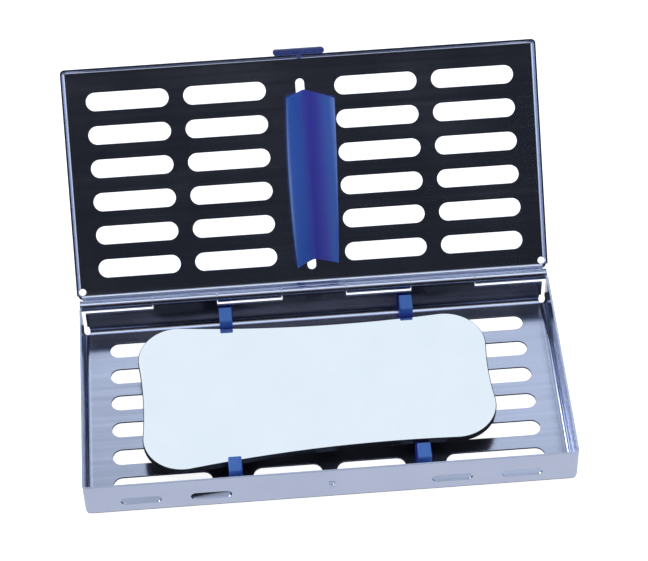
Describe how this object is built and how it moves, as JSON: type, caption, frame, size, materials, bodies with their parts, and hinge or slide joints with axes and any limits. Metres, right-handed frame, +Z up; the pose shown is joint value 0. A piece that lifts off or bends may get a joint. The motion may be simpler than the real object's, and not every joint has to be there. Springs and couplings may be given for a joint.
{
  "type": "photographic dental mirror in hinged sterilising cassette",
  "caption": "Flat dog-bone intraoral mirror resting on silicone clips in a slotted sheet-steel tray with a hinged slotted lid, soft hold-down strip and snap latch.",
  "frame": {"origin": "on the tray's underside, under the middle of the tray", "axes": "+Z up, +X to the tray's right seen from its latch side, +Y towards the hinge"},
  "size_m": [0.207, 0.177, 0.0982],
  "materials": {
    "tray_steel": "fine brushed stainless sheet",
    "pin_steel": "drawn bright wire",
    "blue_silicone": "satin translucent silicone",
    "blue_plastic": "satin moulded",
    "backing": "dark protective film",
    "mirror_body": "ground and polished edge",
    "mirror_face": "hard front-surface coating"
  },
  "bodies": {
    "tray": {"base_tray": "tray_steel", "hinge_pin": "pin_steel", "mirror_clip_back_left": "blue_silicone", "mirror_clip_back_right": "blue_silicone", "mirror_clip_front_left": "blue_silicone", "mirror_clip_front_right": "blue_silicone"},
    "lid": {"lid_panel": "tray_steel", "hold_down_strip": "blue_silicone", "latch_pin": "pin_steel"},
    "latch": {"latch_lever": "blue_plastic"},
    "mirror": {"mirror_backing": "backing", "mirror_glass": "mirror_body", "mirror_coating": "mirror_face"}
  },
  "joints": [
    {"name": "lid_hinge", "type": "hinge", "parent": "tray", "child": "lid", "pos_m": [0, 0.0515, 0.0153], "axis": [1, 0, 0], "range_deg": [0, 132.56]},
    {"name": "latch_pivot", "type": "hinge", "parent": "lid", "child": "latch", "pos_m": [0, 0.12552, 0.08941], "axis": [-1, 0, 0], "range_deg": [-2.5, 70]},
    {"name": "mirror_lift", "type": "slide", "parent": "tray", "child": "mirror", "axis": [0, 0, 1], "range_m": [0, 0.11]}
  ]
}
